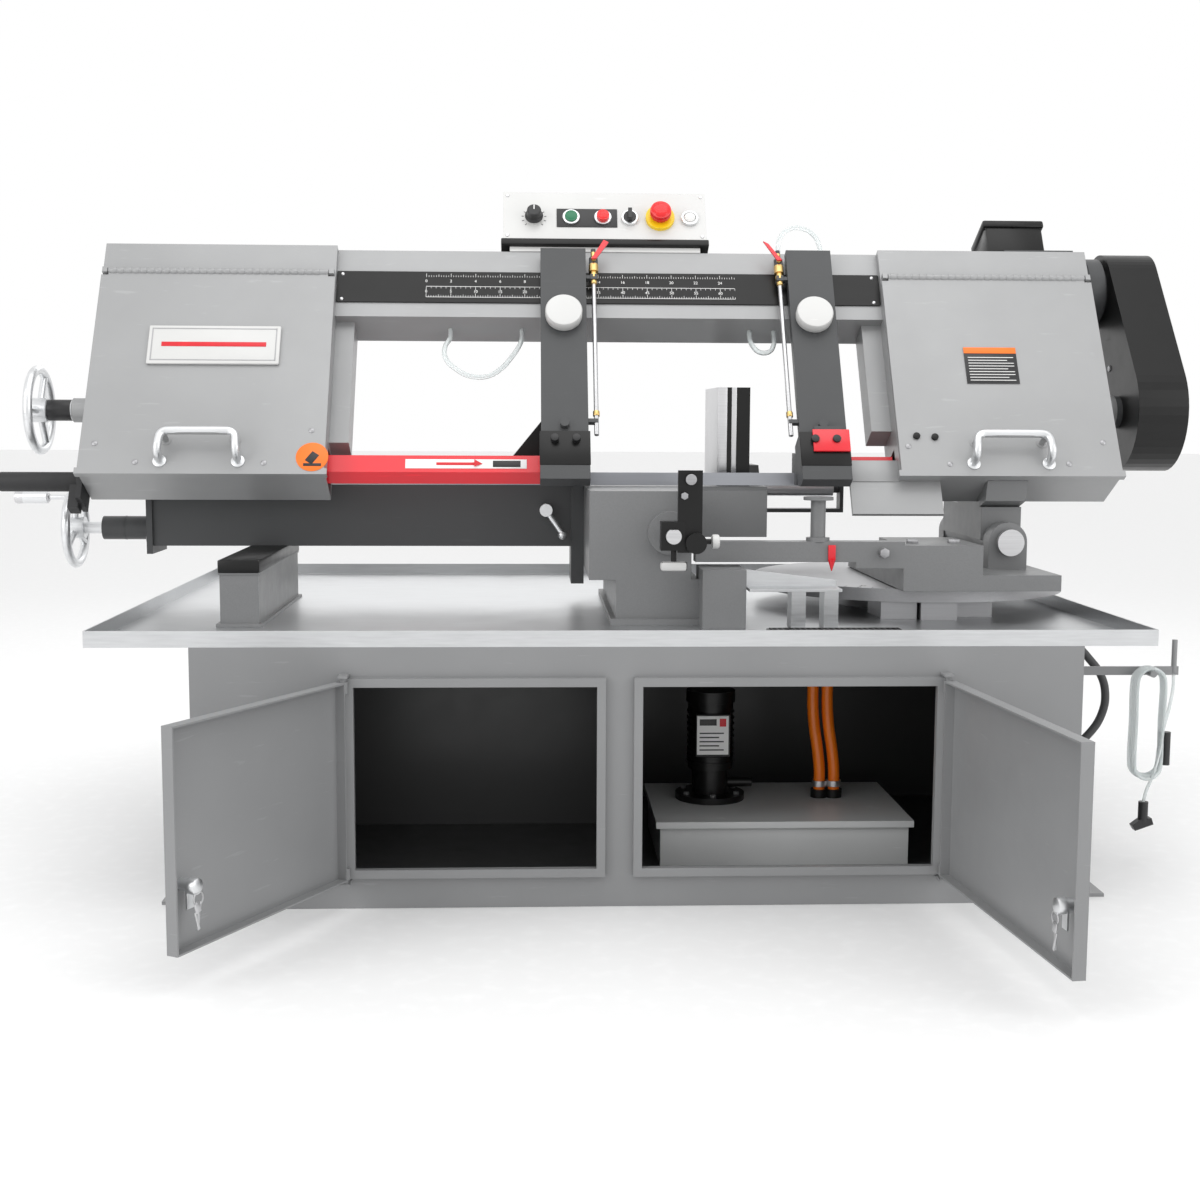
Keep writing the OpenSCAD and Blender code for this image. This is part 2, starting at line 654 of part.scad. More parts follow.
module bow_handle() color("black") head() {
    rod_x([house_l_x - 170, 0, -10], 18, 168);
    block([house_l_x - 12, -30, -60], [10, 60, 80]);
    block([house_l_x - 30, -14, -72], [20, 28, 60]);
    block([house_l_x - 3, -20, -20], [3, 40, 34]);
}

// ---- band wheels, blade and drive ----
module band_wheel(x) {
    difference() {
        rod_y([x, -wheel_w / 2, axle_z], wheel_r, wheel_w, $fn = 96);
        for (y = [-wheel_w / 2 - 1, 6]) difference() {
            rod_y([x, y, axle_z], wheel_r - 16, 11);
            rod_y([x, y - 1, axle_z], 42, 13);
        }
        for (a = [0:60:300]) translate([x, 0, axle_z]) rotate([0, a, 0]) rod_y([100, -20, 0], 26, 40);
        rod_y([x, -wheel_w, axle_z], axle_r + run_c, 2 * wheel_w);
    }
}
module idler_wheel() color("dimgray") head() band_wheel(idler_x);
module idler_carriage() color("dimgray") head() {
    difference() {
        union() {
            block([idler_x - 60, 18, axle_z - 50], [120, 13, 100]);
            block([house_l_x + 12, -16, screw_line - 18], [30, 47, 36]);
            block([house_l_x + 12, 18, screw_line - 18], [idler_x - house_l_x - 12, 13, 36]);
        }
        rod_x([house_l_x, 0, screw_line], 10 + run_c, 60);
    }
    rod_y([idler_x, -20, axle_z], axle_r, 40);
    rod_y([idler_x, -26, axle_z], axle_r + 8, 8);
}
module drive_wheel() color("dimgray") head() {
    band_wheel(drive_x);
    rod_y([drive_x, -20, axle_z], axle_r + run_c, 80);
}
module blade() color("silver") head() {
    t = 0.9;
    flat_run = 40;
    guide_travel = 36;
    x0 = arm_l_x - 48 - guide_travel;
    x1 = arm_r_x + 60;
    difference() {
        union() {
            for (x = [idler_x, drive_x]) rod_y([x, -blade_w / 2, axle_z], axle_z + t / 2, blade_w, $fn = 96);
            block([idler_x, -blade_w / 2, 2 * axle_z - 1], [wheel_span, blade_w, 1 + t / 2]);
        }
        for (x = [idler_x, drive_x]) rod_y([x, -50, axle_z], axle_z - t / 2, 100, $fn = 96);
        block([idler_x, -50, t / 2], [wheel_span, 100, 2 * axle_z - t]);
        block([idler_x, -50, -10], [wheel_span, 100, 10 + t]);
    }
    // The blade lies flat where it leaves each wheel, then twists upright for the guides
    for (x = [idler_x, drive_x - flat_run])
        block([x, -blade_w / 2, -t / 2], [flat_run, blade_w, t]);
    translate([idler_x + flat_run, 0, 0]) rotate([90, 0, 90])
        linear_extrude(x0 - idler_x - flat_run, twist = 90 - lean, slices = 10)
            square([blade_w, t], center = true);
    translate([x0, 0, 0]) rotate([lean - 90, 0, 0])
        block([0, -blade_w / 2, -t / 2], [x1 - x0, blade_w, t]);
    translate([x1, 0, 0]) rotate([90, 0, 90]) rotate(lean - 90)
        linear_extrude(drive_x - flat_run - x1, twist = lean - 90, slices = 10)
            square([blade_w, t], center = true);
}
module gearbox() color("dimgray") head() difference() {
    union() {
        block([drive_x - 75, house_back, 104], [150, 130, 196]);
        rod_y([drive_x, house_back, axle_z], 70, 12);
        rod_x([drive_x + 74, drive_y, pulley_z], 34, guard_x - drive_x - 74);
    }
    rod_y([drive_x, house_back - 1, axle_z], axle_r + 2 * run_c, 30);
    rod_x([drive_x, drive_y, pulley_z], 12 + run_c, 400);
}
module motor() color("darkslategray") head() {
    difference() {
        union() {
            rod_x([guard_x - 8 - motor_len, drive_y, motor_z], motor_d / 2, motor_len);
            rod_x([guard_x - 8, drive_y, motor_z], motor_d / 2 - 14, 8);
        }
        rod_x([guard_x - 60, drive_y, motor_z], 9 + run_c, 80);
    }
    block([guard_x - 220, house_back, motor_z - 60], [150, 30, 120]);
    block([drive_x + 66, drive_y - 46, motor_z + motor_d / 2 - 8], [124, 92, 90]);
}
// Outline round two circles on the pulley axes, lower radius r1 and upper radius r2
module belt_outline(r1, r2) {
    steps = 24;
    a = asin((r1 - r2) / (motor_z - pulley_z));
    polygon([for (i = [0:steps]) let (b = 180 - a + (180 + 2 * a) * i / steps)
            [drive_y + r1 * cos(b), pulley_z + r1 * sin(b)],
        for (i = [0:steps]) let (b = a + (180 - 2 * a) * i / steps)
            [drive_y + r2 * cos(b), motor_z + r2 * sin(b)]]);
}
guard_r = [124, 84];
module belt_guard() color("black") head() difference() {
    translate([guard_x, 0, 0]) rotate([90, 0, 90]) linear_extrude(guard_w) belt_outline(guard_r[0], guard_r[1]);
    translate([guard_x + sheet, 0, 0]) rotate([90, 0, 90])
        linear_extrude(guard_w - 2 * sheet) belt_outline(guard_r[0] - sheet, guard_r[1] - sheet);
    rod_x([guard_x - 1, drive_y, pulley_z], 22, sheet + 2);
    rod_x([guard_x - 1, drive_y, motor_z], 18, sheet + 2);
}
belt_x = guard_x + 44;
big_r = 92;
small_r = 42;
module gearbox_pulley() color("silver") head() {
    rod_x([belt_x, drive_y, pulley_z], big_r, 26);
    rod_x([drive_x + 30, drive_y, pulley_z], 12, belt_x - drive_x + 10);
}
module motor_pulley() color("silver") head() {
    rod_x([belt_x, drive_y, motor_z], small_r, 26);
    rod_x([guard_x - 50, drive_y, motor_z], 9, 100);
}
module drive_belt() color("black") head()
    translate([belt_x + 5, 0, 0]) rotate([90, 0, 90]) linear_extrude(16) difference() {
        belt_outline(big_r + 8, small_r + 8);
        belt_outline(big_r + belt_c, small_r + belt_c);
    }
belt_c = 0.6;

// ---- blade guides ----
guide_bottom = bed_z + 4;
module guide_arm(xc) difference() {
    union() {
        head() {
            block([xc - arm_w / 2, guide_y, 50], [arm_w, arm_t, arm_top - 50]);
            for (z = [bow_z + 6, bow_z + 110]) block([xc - 30, arm_y - 1, z], [60, 10.5, 24]);
            block([xc - 48, guide_y - 8, -50], [96, 60, 104]);
            rod_y([xc, guide_y - 22, 322], 36, 22);
            rod_y([xc, guide_y - 12, 72], 9, 12);
        }
        block([xc - 48, blade_y - 30, guide_bottom], [96, 60, 62]);
    }
    block([xc - 200, -200, -10], [400, 600, guide_bottom + 10]);
    block([xc - 60, blade_y - 0.6, guide_bottom - 1], [120, 1.2, 40]);
}
module valve(x, z) {
    y = guide_y + 8;
    rod_z([x, y, z - 40], 4, 60);
    rod_z([x, y, z - 6], 9, 26);
    rod_z([x, y, z + 20], 5, 22);
    rod_z([x, y, 60], 4, z - 90);
    block([x - 7, y - 8, z - 34], [14, 16, 12]);
}
module guide_arm_left() color("dimgray") {
    guide_arm(arm_l_x);
    head() {
        valve(arm_l_x + arm_w / 2 + 16, 446);
        for (z = [80, 414]) block([arm_l_x + arm_w / 2 - 1, guide_y + 2, z], [20, 12, 8]);
    }
}
module guide_arm_right() color("dimgray") {
    guide_arm(arm_r_x);
    head() {
        valve(arm_r_x - arm_w / 2 - 16, 446);
        for (z = [80, 414]) block([arm_r_x - arm_w / 2 - 19, guide_y + 2, z], [20, 12, 8]);
        block([arm_r_x - 20, guide_y - 14, 14], [56, 6, 50]);
    }
}
module valve_lever(x, s) {
    y = guide_y + 8;
    rod_y([x, y - 16, 458], 4, 6.7);
    front_profile(y - 19, 4, [[x - 5, 454], [x + 5, 454], [x + s * 26 + 5, 494], [x + s * 26 - 5, 500]]);
}
module valve_lever_left() color("red") head() valve_lever(arm_l_x + arm_w / 2 + 16, 1);
module valve_lever_right() color("red") head() valve_lever(arm_r_x - arm_w / 2 - 16, -1);
module guard_channel(x0, len) difference() {
    side_profile(x0, len, [[blade_y - 32, bed_z + 28], [blade_y - 14, bed_z + 60],
        [blade_y + 26, bed_z + 44], [blade_y + 26, bed_z + 5], [blade_y - 20, bed_z + 5]]);
    block([x0 - 1, blade_y - 14, bed_z], [len + 2, 32, 38]);
}
module blade_guard_left() color("red")
    guard_channel(bow_x0 - 48, arm_l_x - bow_x0);
module blade_guard_right() color("red")
    guard_channel(arm_r_x + 48, house_r_x - arm_r_x - 52);

// ---- controls ----
module tension_wheel() color("silver") head() {
    translate([-1160, 0, screw_line]) handwheel(tension_wheel_d, 24, 34, 10);
    rod_x([-1177, 0, screw_line], 10, 1177 + house_l_x + 36);
    rod_x([-1144, 0, screw_line], 20, house_l_x - 46 + 1144);
}
control_x = [for (d = [-147, -70, -4, 52, 115]) box_x + d];
panel_y = -66;
control_z = 576;
collar_h = 6;
module control_box() color("white") head() {
    difference() {
        union() {
            block([box_x - box_w / 2, panel_y, box_z], [box_w, box_d, box_h]);
            block([box_x - box_w / 2 + 14, panel_y + 8, bow_z + bow_h], [box_w - 28, box_d - 20, box_z - bow_z - bow_h + 1]);
            for (i = [0:4]) rod_y([control_x[i], panel_y - collar_h, control_z], control_r(i) + 4, collar_h + 1);
            rod_y([box_x + 177, panel_y - 7, control_z], 11, 8);
        }
        for (i = [0:4]) rod_y([control_x[i], panel_y - collar_h - 1, control_z], control_r(i) + run_c, 24);
    }
}
function control_r(i) = i == 4 ? estop_d / 2 - 6 : button_d / 2;
module push_button(i, out) rod_y([control_x[i], panel_y - out, control_z], control_r(i), out + 8);
module speed_knob() color("black") head() push_button(0, 26);
module start_button() color("green") head() push_button(1, 10);
module stop_button() color("red") head() push_button(2, 14);
module mode_selector() color("black") head() {
    push_button(3, 10);
    block([control_x[3] - 4, panel_y - 22, control_z - 12], [8, 13, 24]);
}
module estop_button() color("red") head() {
    push_button(4, 18);
    rod_y([control_x[4], panel_y - 32, control_z], estop_d / 2, 16);
}
loop_left = [[-352, -10, 338], [-352, -10, 318], [-362, -11, 296], [-360, -12, 268], [-338, -12, 242],
    [-308, -12, 226], [-276, -12, 226], [-248, -12, 244], [-228, -12, 270], [-212, -11, 298],
    [-206, -10, 318], [-206, -10, 338]];
loop_right = [[262, -10, 338], [262, -10, 322], [268, -11, 300], [282, -12, 286], [300, -12, 288],
    [310, -11, 304], [312, -10, 322], [312, -10, 338]];
arch = [[332, -20, 498], [332, -20, 520], [334, -20, 548], [344, -20, 574], [364, -20, 590],
    [388, -20, 590], [410, -20, 574], [420, -20, 548], [422, -20, 520], [422, -20, 498]];
module head_hoses() color("whitesmoke") head() {
    tube(loop_left, 5);
    tube(loop_right, 5);
    tube(arch, 5);
}

cabinet();
chip_tray();
bed_casting();
roller_stand();
rear_roller();
vise_beam();
beam_rest();
vise_wheel();
fixed_jaw();
moving_jaw();
vise_lock_lever();
work_stop_bar();
work_stop_arm();
turntable();
swivel_casting();
hinge_pin();
chute();
coolant_tank();
coolant_pump();
pump_hoses();
drain_hose();
hose_hanger();
wash_hose();
wash_gun();
door_left();
door_right();
lock_left();
lock_right();
bow_frame();
rule_plate();
housing_left();
housing_right();
cover_left();
cover_right();
idler_carriage();
idler_wheel();
drive_wheel();
blade();
gearbox();
motor();
belt_guard();
gearbox_pulley();
motor_pulley();
drive_belt();
guide_arm_left();
guide_arm_right();
blade_guard_left();
blade_guard_right();
tension_wheel();
control_box();
start_button();
stop_button();
estop_button();
speed_knob();
mode_selector();
valve_lever_left();
valve_lever_right();
head_hoses();
bow_handle();
hinge_bracket();
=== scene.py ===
import math

import bmesh
import bpy
from mathutils import Matrix, Vector


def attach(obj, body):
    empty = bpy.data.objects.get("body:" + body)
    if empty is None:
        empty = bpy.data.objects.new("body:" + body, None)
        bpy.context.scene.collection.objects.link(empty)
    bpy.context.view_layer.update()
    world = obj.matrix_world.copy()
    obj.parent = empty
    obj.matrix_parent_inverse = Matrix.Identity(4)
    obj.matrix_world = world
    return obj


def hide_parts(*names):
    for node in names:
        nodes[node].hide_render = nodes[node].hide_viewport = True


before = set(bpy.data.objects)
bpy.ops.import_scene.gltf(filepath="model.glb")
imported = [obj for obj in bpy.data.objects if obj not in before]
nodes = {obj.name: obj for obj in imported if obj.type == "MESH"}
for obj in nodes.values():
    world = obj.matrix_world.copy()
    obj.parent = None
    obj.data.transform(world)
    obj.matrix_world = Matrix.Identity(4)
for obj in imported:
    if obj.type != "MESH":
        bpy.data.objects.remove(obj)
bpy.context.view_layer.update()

# New pieces are shaped in millimetres, either standing on the floor or in the head's own
# frame, which leans back 30 degrees about the blade line.
LEAN = math.radians(30)
MM = Matrix.Scale(0.001, 4)
STAND = MM
HEAD = Matrix.Translation((0, 0.130, 0.719)) @ Matrix.Rotation(-LEAN, 4, "X") @ MM
TURN = {"x": Matrix.Rotation(math.pi / 2, 4, "Y"), "y": Matrix.Rotation(-math.pi / 2, 4, "X"),
        "z": Matrix.Identity(4)}


# ---- camera, lights and floor ----
def make_camera():
    tilt, pan, roll = 0.1117, 0.0437, 0.0043
    ahead = Vector((math.sin(pan) * math.cos(tilt), math.cos(pan) * math.cos(tilt),
                    -math.sin(tilt)))
    right = Vector((math.cos(pan), -math.sin(pan), 0))
    up = right.cross(ahead)
    level = right * math.cos(roll) + up * math.sin(roll)
    upright = up * math.cos(roll) - right * math.sin(roll)
    turn = Matrix((level, upright, -ahead)).transposed().to_4x4()
    data = bpy.data.cameras.new("camera")
    data.lens = 48
    data.sensor_width = 36
    camera = bpy.data.objects.new("camera", data)
    camera.matrix_world = Matrix.Translation((-0.1888, -3.0323, 0.8331)) @ turn
    bpy.context.scene.collection.objects.link(camera)
    bpy.context.scene.camera = camera


def area_light(name, place, target, width, height, power):
    data = bpy.data.lights.new(name, "AREA")
    data.shape = "RECTANGLE"
    data.size, data.size_y, data.energy = width, height, power
    light = bpy.data.objects.new(name, data)
    light.location = place
    light.rotation_euler = (Vector(target) - Vector(place)).to_track_quat("-Z", "Y").to_euler()
    bpy.context.scene.collection.objects.link(light)


def make_studio():
    area_light("soft_top", (0.2, -0.6, 3.6), (0, 0.2, 0.4), 3.2, 2.4, 34)
    area_light("soft_left", (-3.2, -2.4, 2.0), (0, 0, 0.7), 1.8, 2.4, 36)
    area_light("soft_right", (3.2, -2.2, 1.8), (0, 0, 0.6), 1.8, 2.4, 26)
    area_light("soft_back", (0, 3.4, 2.6), (0, 0.2, 0.8), 3.2, 1.6, 16)
    world = bpy.data.worlds.new("studio")
    world.use_nodes = True
    world.node_tree.nodes["Background"].inputs["Color"].default_value = (1, 1, 1, 1)
    world.node_tree.nodes["Background"].inputs["Strength"].default_value = 1.0
    bpy.context.scene.world = world
    bpy.context.scene.view_settings.view_transform = "Standard"
    mesh = bpy.data.meshes.new("studio_floor")
    bm = bmesh.new()
    bmesh.ops.create_grid(bm, x_segments=1, y_segments=1, size=40)
    bm.to_mesh(mesh)
    bm.free()
    floor = bpy.data.objects.new("studio_floor", mesh)
    mesh.materials.append(finishes["floor"])
    bpy.context.scene.collection.objects.link(floor)


# ---- shader arithmetic and finishes ----
class Amount:
    """A value in a finish that takes part in sums with numbers and other values."""

    def __init__(self, finish, socket):
        self.finish, self.socket = finish, socket

    def sum(self, operation, a, b):
        return self.finish.node("ShaderNodeMath", {"operation": operation}, {0: a, 1: b})

    def __add__(self, other): return self.sum("ADD", self, other)
    def __radd__(self, other): return self.sum("ADD", other, self)
    def __sub__(self, other): return self.sum("SUBTRACT", self, other)
    def __rsub__(self, other): return self.sum("SUBTRACT", other, self)
    def __mul__(self, other): return self.sum("MULTIPLY", self, other)
    def __rmul__(self, other): return self.sum("MULTIPLY", other, self)
    def __gt__(self, other): return self.sum("GREATER_THAN", self, other)
    def __lt__(self, other): return self.sum("LESS_THAN", self, other)
    def __abs__(self): return self.sum("ABSOLUTE", self, 0.0)


class Finish:
    """A material on the Principled shader. Constants go straight on its sockets."""

    def __init__(self, name, **constants):
        self.material = bpy.data.materials.new(name)
        self.material.use_nodes = True
        self.tree = self.material.node_tree
        self.shader = self.tree.nodes["Principled BSDF"]
        for socket, value in constants.items():
            self.set(socket.replace("_", " ").title().replace("Ior", "IOR"), value)

    def fill(self, socket, value):
        if isinstance(value, Amount):
            self.tree.links.new(value.socket, socket)
        else:
            socket.default_value = value

    def node(self, kind, settings, inputs, output=0):
        made = self.tree.nodes.new(kind)
        for setting, value in settings.items():
            setattr(made, setting, value)
        for key, value in inputs.items():
            self.fill(made.inputs[key], value)
        return Amount(self, made.outputs[output])

    def set(self, socket, value):
        self.fill(self.shader.inputs[socket], value)

    def place(self, stretch=(1, 1, 1)):
        spot = self.node("ShaderNodeTexCoord", {}, {}, "Object")
        return self.node("ShaderNodeMapping", {}, {"Vector": spot, "Scale": stretch})

    def split(self, axis):
        return self.node("ShaderNodeSeparateXYZ", {}, {"Vector": self.place()}, axis)

    def noise(self, scale, detail=2.0, stretch=(1, 1, 1)):
        return self.node("ShaderNodeTexNoise", {},
                         {"Vector": self.place(stretch), "Scale": scale, "Detail": detail}, "Fac")

    def blend(self, factor, a, b):
        return self.node("ShaderNodeMix", {"data_type": "RGBA"}, {0: factor, 6: a, 7: b}, 2)

    def ramp(self, value, low, high):
        return self.node("ShaderNodeMapRange", {"clamp": True},
                         {"Value": value, "From Min": low, "From Max": high})

    def bump(self, height, depth, edge=0.0008):
        rounded = self.node("ShaderNodeBevel", {"samples": 4}, {"Radius": edge})
        self.set("Normal", self.node("ShaderNodeBump", {}, {
            "Strength": 1.0, "Distance": depth, "Height": height, "Normal": rounded}))


def shade(colour, factor):
    return tuple(min(1.0, c * factor) for c in colour) + (1.0,)


def paint(name, colour, roughness, peel=0.00006, metallic=0.0, coat=0.15, gloss=0.5, painted_shade_box=None):
    """Sprayed paint: orange peel, cloudy colour and a few fine scuffs. The last argument is the
    half size and height of a box whose interior gets painted shade: the paint darkened to stand in
    for shade there."""
    f = Finish(name, metallic=metallic, coat_weight=coat, coat_roughness=0.2,
               specular_ior_level=gloss)
    cloud = f.noise(5, 4)
    scuffs = f.ramp(f.noise(14, 8, (1, 1, 9)), 0.66, 0.72) * 0.35
    base = f.blend(cloud, shade(colour, 0.9), shade(colour, 1.1))
    finish = f.blend(scuffs, base, shade(colour, 1.35))
    if painted_shade_box:
        x, y, z = (f.split(axis) for axis in "XYZ")
        # painted shade: surfaces within the box are darkened to 0.22 of the paint colour
        painted_shade_mask = (painted_shade_box[0] > abs(x)) * (painted_shade_box[1] > abs(y)) * (painted_shade_box[2] > z) * (z > 0.0245)
        finish = f.blend(painted_shade_mask, finish, shade(colour, 0.22))
    f.set("Base Color", finish)
    f.set("Roughness", f.noise(28, 3) * 0.14 + (roughness - 0.07) + scuffs * 0.2)
    f.bump(f.noise(620, 2), peel)
    return f.material


def cast(name, colour, roughness):
    """Painted casting: pebbled skin with darker hollows."""
    f = Finish(name, coat_weight=0.1, coat_roughness=0.3)
    skin = f.noise(420, 4)
    cloud = f.noise(7, 4)
    base = f.blend(cloud, shade(colour, 0.84), shade(colour, 1.1))
    f.set("Base Color", f.blend(f.ramp(skin, 0.3, 0.6) * 0.5, shade(colour, 0.86), base))
    f.set("Roughness", f.noise(40, 3) * 0.2 + (roughness - 0.1))
    f.bump(skin, 0.00016, 0.0016)
    return f.material


def metal(name, colour, roughness, grain=(1, 60, 60), depth=0.00002):
    """Ground or brushed metal with its grain along one axis, and cloudy handling marks."""
    f = Finish(name, metallic=1.0)
    lines = f.noise(9, 6, grain)
    marks = f.noise(11, 5)
    f.set("Base Color", f.blend(lines, shade(colour, 0.82), shade(colour, 1.1)))
    f.set("Roughness", lines * 0.18 + marks * 0.14 + (roughness - 0.14))
    f.bump(lines, depth)
    return f.material


def moulded(name, colour, roughness, grain=900, depth=0.00005, **constants):
    """Moulded plastic or rubber with a fine spark-eroded grain and faint dust."""
    f = Finish(name, **constants)
    dust = f.ramp(f.noise(30, 6), 0.5, 0.8) * 0.3
    f.set("Base Color", f.blend(dust, shade(colour, 1.0), shade(colour, 1.5)))
    f.set("Roughness", dust * 0.4 + roughness)
    f.bump(f.noise(grain, 3), depth, 0.0006)
    return f.material


def make_finishes():
    return {
        # the cabinet paint carries painted shade within the cabinet box
        "cabinet": paint("cabinet_powder_coat", (0.235, 0.238, 0.242), 0.42,
                         painted_shade_box=(0.7605, 0.3485, 0.4505)),
        "tray": metal("brushed_tray_enamel", (0.66, 0.67, 0.68), 0.34, (2, 26, 26)),
        "casting": cast("grey_casting", (0.2, 0.203, 0.206), 0.42),
        "cover": paint("silver_cover_paint", (0.33, 0.333, 0.336), 0.42, metallic=0.25),
        "arm": paint("dark_grey_enamel", (0.06, 0.062, 0.064), 0.42, 0.0001, coat=0.05, gloss=0.35),
        "black": paint("gloss_black_enamel", (0.006, 0.006, 0.006), 0.34, 0.00005, coat=0.05,
                       gloss=0.3),
        "iron": metal("machined_iron", (0.42, 0.42, 0.43), 0.45),
        "steel": metal("ground_steel", (0.66, 0.66, 0.67), 0.34),
        "chrome": metal("chrome_plate", (0.78, 0.79, 0.8), 0.34, (1, 8, 8), 0.000004),
        "blade": metal("blade_steel", (0.4, 0.41, 0.44), 0.38, (1, 200, 200)),
        "brass": metal("brass", (0.78, 0.55, 0.22), 0.32, (20, 20, 2)),
        "red": paint("gloss_red_enamel", (0.72, 0.008, 0.02), 0.32, coat=0.4),
        "tank": paint("tank_enamel", (0.6, 0.61, 0.61), 0.4),
        "white": paint("white_enamel", (0.60, 0.60, 0.59), 0.38),
        "orange_hose": moulded("orange_hose_rubber", (0.95, 0.2, 0.008), 0.28, 300, 0.00004),
        "grey_hose": moulded("grey_ribbed_hose", (0.05, 0.05, 0.052), 0.5),
        "clear_hose": moulded("clear_hose_vinyl", (0.86, 0.9, 0.9), 0.16, 200, 0.00002,
                              transmission_weight=0.6, ior=1.4),
        "rubber": moulded("grip_rubber", (0.018, 0.018, 0.019), 0.6, 500, 0.0002),
        "plastic": moulded("black_moulding", (0.015, 0.015, 0.016), 0.38),
        "green": moulded("green_button", (0.006, 0.14, 0.06), 0.25),
        "stop_red": moulded("red_button", (0.7, 0.01, 0.012), 0.25),
        "yellow": moulded("yellow_ring", (0.9, 0.6, 0.01), 0.3),
        "lamp": moulded("lamp_lens", (0.9, 0.9, 0.88), 0.15, transmission_weight=0.2),
        "print": moulded("white_print", (0.85, 0.85, 0.84), 0.45),
        "orange": moulded("orange_print", (0.86, 0.17, 0.01), 0.4),
        "floor": moulded("studio_floor", (0.86, 0.86, 0.86), 0.55),
        "red_print": moulded("red_print", (0.62, 0.01, 0.02), 0.4),
    }


make_camera()
finishes = make_finishes()
make_studio()

# ---- every CAD node gets its finish ----
NODE_FINISH = {
    "cabinet": "cabinet door_left door_right hose_hanger",
    "tray": "chip_tray chute",
    "casting": "bed_casting swivel_casting hinge_bracket beam_rest",
    "cover": "housing_left housing_right cover_left cover_right bow_frame",
    "arm": "vise_beam guide_arm_left guide_arm_right roller_stand gearbox motor idler_carriage",
    "black": "fixed_jaw moving_jaw belt_guard work_stop_arm coolant_pump rule_plate",
    "iron": "turntable idler_wheel drive_wheel gearbox_pulley motor_pulley",
    "steel": "hinge_pin rear_roller work_stop_bar",
    "chrome": "vise_wheel tension_wheel vise_lock_lever lock_left lock_right",
    "blade": "blade",
    "red": "blade_guard_left blade_guard_right valve_lever_left valve_lever_right",
    "rubber": "bow_handle drive_belt",
    "tank": "coolant_tank",
    "white": "control_box",
    "plastic": "wash_gun speed_knob mode_selector",
    "green": "start_button",
    "stop_red": "stop_button estop_button",
    "orange_hose": "pump_hoses",
    "grey_hose": "drain_hose",
    "clear_hose": "wash_hose head_hoses",
}
for finish, names in NODE_FINISH.items():
    for name in names.split():
        for hold in nodes[name].material_slots:
            hold.link = "OBJECT"
            hold.material = finishes[finish]


# ---- cords ----
def hose(name, body, route, diameter, length, finish, replaced, place=STAND, **facts):
    """A hose of the given diameter in millimetres on one smooth curve through its route."""
    data = bpy.data.curves.new(name, "CURVE")
    data.dimensions = "3D"
    data.bevel_depth = diameter / 2000
    data.bevel_resolution = 4
    data.resolution_u = 6
    data.use_fill_caps = True
    spline = data.splines.new("BEZIER")
    spline.bezier_points.add(len(route) - 1)
    points = [place @ Vector(p) for p in route]
    for knot, point in zip(spline.bezier_points, points):
        knot.co = point
        knot.handle_left_type = knot.handle_right_type = "AUTO"
    data.materials.append(finishes[finish])
    piece = bpy.data.objects.new(name, data)
    bpy.context.scene.collection.objects.link(piece)
    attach(piece, body)
    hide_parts(replaced)
    return piece


PUMP_RISE = [(0, 0, 128), (0, 0, 165), (-4, 2, 205), (-10, 4, 245), (-14, 4, 285), (-15, 2, 325),
             (-15, 0, 365), (-15, 0, 405), (-15, 0, 449)]
for side, x in (("left", 368), ("right", 396)):
    hose("pump_hose_" + side, "base", [(x + a, b - 20, c) for a, b, c in PUMP_RISE], 22,
         0.322, "orange_hose", "pump_hoses", far_end="object", stiffness="stiff", lay="taut")
hose("tray_drain_hose", "base",
     [(862, 20, 452), (862, 20, 430), (876, 18, 404), (898, 14, 378), (922, 10, 346),
      (932, 6, 308), (926, 4, 268), (904, 2, 232), (872, 0, 206), (834, 0, 194), (796, 0, 190),
      (762, 0, 190)], 16, 0.403, "grey_hose", "drain_hose",
     far_end="object", stiffness="medium", lay="hanging")
LOOPS = {
    ("coolant_loop_left", 0.314): [
        (-352, -10, 338), (-352, -10, 318), (-362, -11, 296), (-360, -12, 268), (-338, -12, 242),
        (-308, -12, 226), (-276, -12, 226), (-248, -12, 244), (-228, -12, 270), (-212, -11, 298),
        (-206, -10, 318), (-206, -10, 338)],
    ("coolant_loop_right", 0.132): [
        (262, -10, 338), (262, -10, 322), (268, -11, 300), (282, -12, 286), (300, -12, 288),
        (310, -11, 304), (312, -10, 322), (312, -10, 338)],
    ("coolant_arch", 0.235): [
        (332, -20, 498), (332, -20, 520), (334, -20, 548), (344, -20, 574), (364, -20, 590),
        (388, -20, 590), (410, -20, 574), (420, -20, 548), (422, -20, 520), (422, -20, 498)],
}
for (name, length), route in LOOPS.items():
    hose(name, "head", route, 10, length, "clear_hose", "head_hoses", HEAD,
         far_end="object", stiffness="limp", lay="hanging")


def hank_route():
    """Five turns over the peg, each a little narrower than the one behind it, then the fall to
    the spray gun. The hose starts down the right of the first turn."""
    x, rest, fold, pitch = 955, 383, 175.7, 6.3
    route = [(1011, -127, 370), (1011, -128, 345), (1005, -131, 310), (993, -135, 265),
             (985, -136.5, 230)]
    for turn in range(5):
        r = 27 - turn / 2
        low, top = fold + 5 * (turn % 2) + r, rest - r
        for side, base, first in ((1, low, 0), (-1, top, 8)):
            y = -137 - pitch * (turn + first / 16)
            if turn or side == -1:
                route.append((x + side * r, y, (low + top) / 2))
            for i in range(9):
                a = math.pi * i / 8
                route.append((x + side * r * math.cos(a), y - pitch * (1 + 0.75 * i) / 16,
                              base - side * r * math.sin(a)))
    return route + [(x + 25, -169, 300), (x + 22, -169, 250), (x + 15, -168, 208),
                    (x + 7, -163, 174), (x + 2, -155, 150), (x, -150, 130)]


hose("wash_hose_hank", "base", hank_route(), 6, 2.6, "clear_hose", "wash_hose",
     far_end="tool", stiffness="limp", lay="coiled", with_pieces=["wash_gun"])


